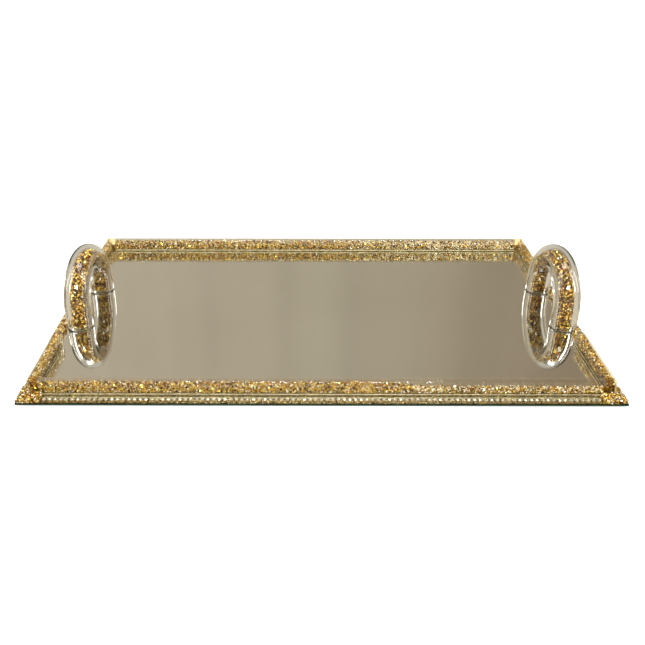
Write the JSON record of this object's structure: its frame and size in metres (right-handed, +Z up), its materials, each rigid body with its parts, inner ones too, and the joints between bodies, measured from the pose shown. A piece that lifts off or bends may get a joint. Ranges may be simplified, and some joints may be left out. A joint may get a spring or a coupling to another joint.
{
  "type": "vanity tray",
  "caption": "Rectangular mirror tray with a rim of clear tubes filled with crushed crystal, a rhinestone edge chain and two upright arched carry handles.",
  "frame": {"origin": "middle of the tray's footprint, on the surface that it stands on", "axes": "+Z up; +X along the tray's length, towards the right handle; +Y from the front to the back"},
  "size_m": [0.45, 0.287, 0.0619],
  "materials": {
    "float_glass": "clear float glass with polished, dark green edges",
    "silver": "silvered back of the mirror",
    "felt": "thin black felt backing",
    "pads": "matt foam rubber",
    "glue": "clear set adhesive, slightly grey",
    "clear_tube": "clear, polished rectangular tube",
    "clear_block": "clear, polished block",
    "handle_acrylic": "clear, polished bent tube",
    "crystal": "crushed glass crystal, gold and amber, glittering",
    "gilt": "polished gold-coloured cups",
    "rhinestone": "clear faceted stones"
  },
  "bodies": {
    "root": {"foot_pads": "pads", "backing_sheet": "felt", "silver_coat": "silver", "mirror_glass": "float_glass", "rim_glue": "glue", "front_rim_tube": "clear_tube", "back_rim_tube": "clear_tube", "left_front_rim_tube": "clear_tube", "left_back_rim_tube": "clear_tube", "right_front_rim_tube": "clear_tube", "right_back_rim_tube": "clear_tube", "front_rim_crystals": "crystal", "back_rim_crystals": "crystal", "left_front_rim_crystals": "crystal", "left_back_rim_crystals": "crystal", "right_front_rim_crystals": "crystal", "right_back_rim_crystals": "crystal", "front_left_post": "clear_block", "front_right_post": "clear_block", "back_left_post": "clear_block", "back_right_post": "clear_block", "rim_end_plugs": "clear_block", "front_chain": "gilt", "back_chain": "gilt", "left_chain": "gilt", "right_chain": "gilt", "front_stones": "rhinestone", "back_stones": "rhinestone", "left_stones": "rhinestone", "right_stones": "rhinestone", "front_left_heap": "crystal", "front_right_heap": "crystal", "back_left_heap": "crystal", "back_right_heap": "crystal", "left_foot_heap": "crystal", "right_foot_heap": "crystal", "left_handle_tube": "handle_acrylic", "right_handle_tube": "handle_acrylic", "left_handle_crystals": "crystal", "right_handle_crystals": "crystal", "left_handle_plugs": "clear_block", "right_handle_plugs": "clear_block", "left_handle_glue": "glue", "right_handle_glue": "glue"}
  },
  "joints": []
}
